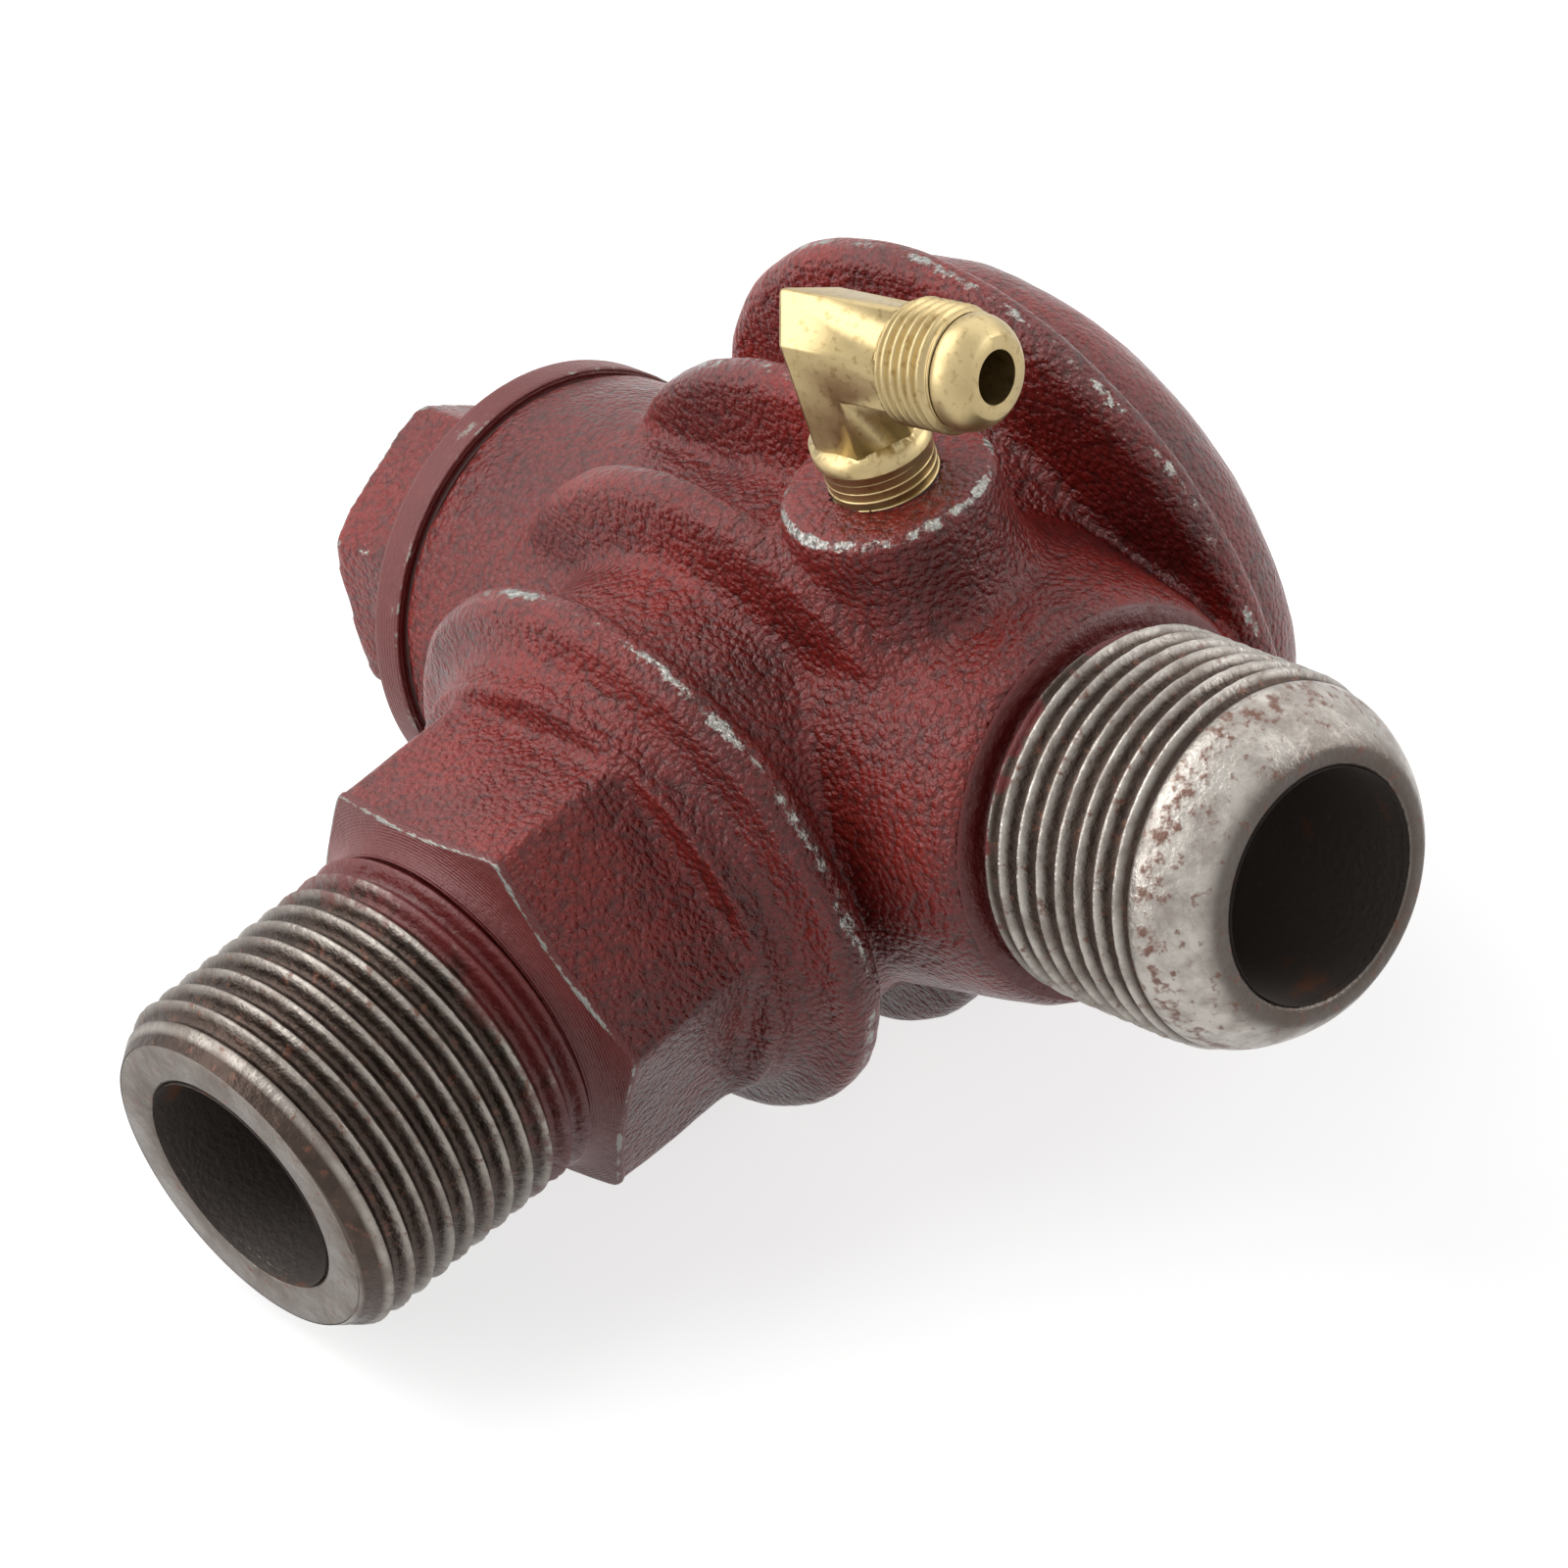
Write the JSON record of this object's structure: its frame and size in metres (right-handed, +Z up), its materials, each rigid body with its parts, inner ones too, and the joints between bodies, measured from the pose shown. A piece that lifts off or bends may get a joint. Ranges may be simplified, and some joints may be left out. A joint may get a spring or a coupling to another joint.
{
  "type": "non-return valve",
  "caption": "Finned cast iron non-return valve with threaded inlet and tank outlet at right angles, hexagon bonnet cap and brass unloader elbow",
  "frame": {"origin": "on the outlet axis, inside the tank thread, 60 mm before the point where the outlet axis crosses the inlet axis", "axes": "the outlet leaves along -Y, the inlet along +X, and the unloader boss stands up along +Z"},
  "size_m": [0.1138, 0.1115, 0.0816],
  "materials": {
    "painted_iron": "dark red paint over a rough sand casting, with the threads machined bare",
    "gasket_fibre": "dark compressed fibre",
    "turned_brass": "bright as machined",
    "seal_rubber": "smooth black",
    "plated_steel": "bright plating"
  },
  "bodies": {
    "housing": {"valve_body": "painted_iron", "bonnet_cap": "painted_iron", "cap_gasket": "gasket_fibre", "unloader_elbow": "turned_brass", "return_spring": "plated_steel"},
    "poppet_group": {"poppet": "turned_brass", "seal_disc": "seal_rubber", "retaining_washer": "plated_steel", "retaining_screw": "plated_steel"}
  },
  "joints": [
    {"name": "poppet_slide", "type": "slide", "parent": "housing", "child": "poppet_group", "axis": [-1, 0, 0], "range_m": [0, 0.007], "stiffness_N_per_m": 400, "springref_m": -0.005, "deforming": ["return_spring"]}
  ]
}
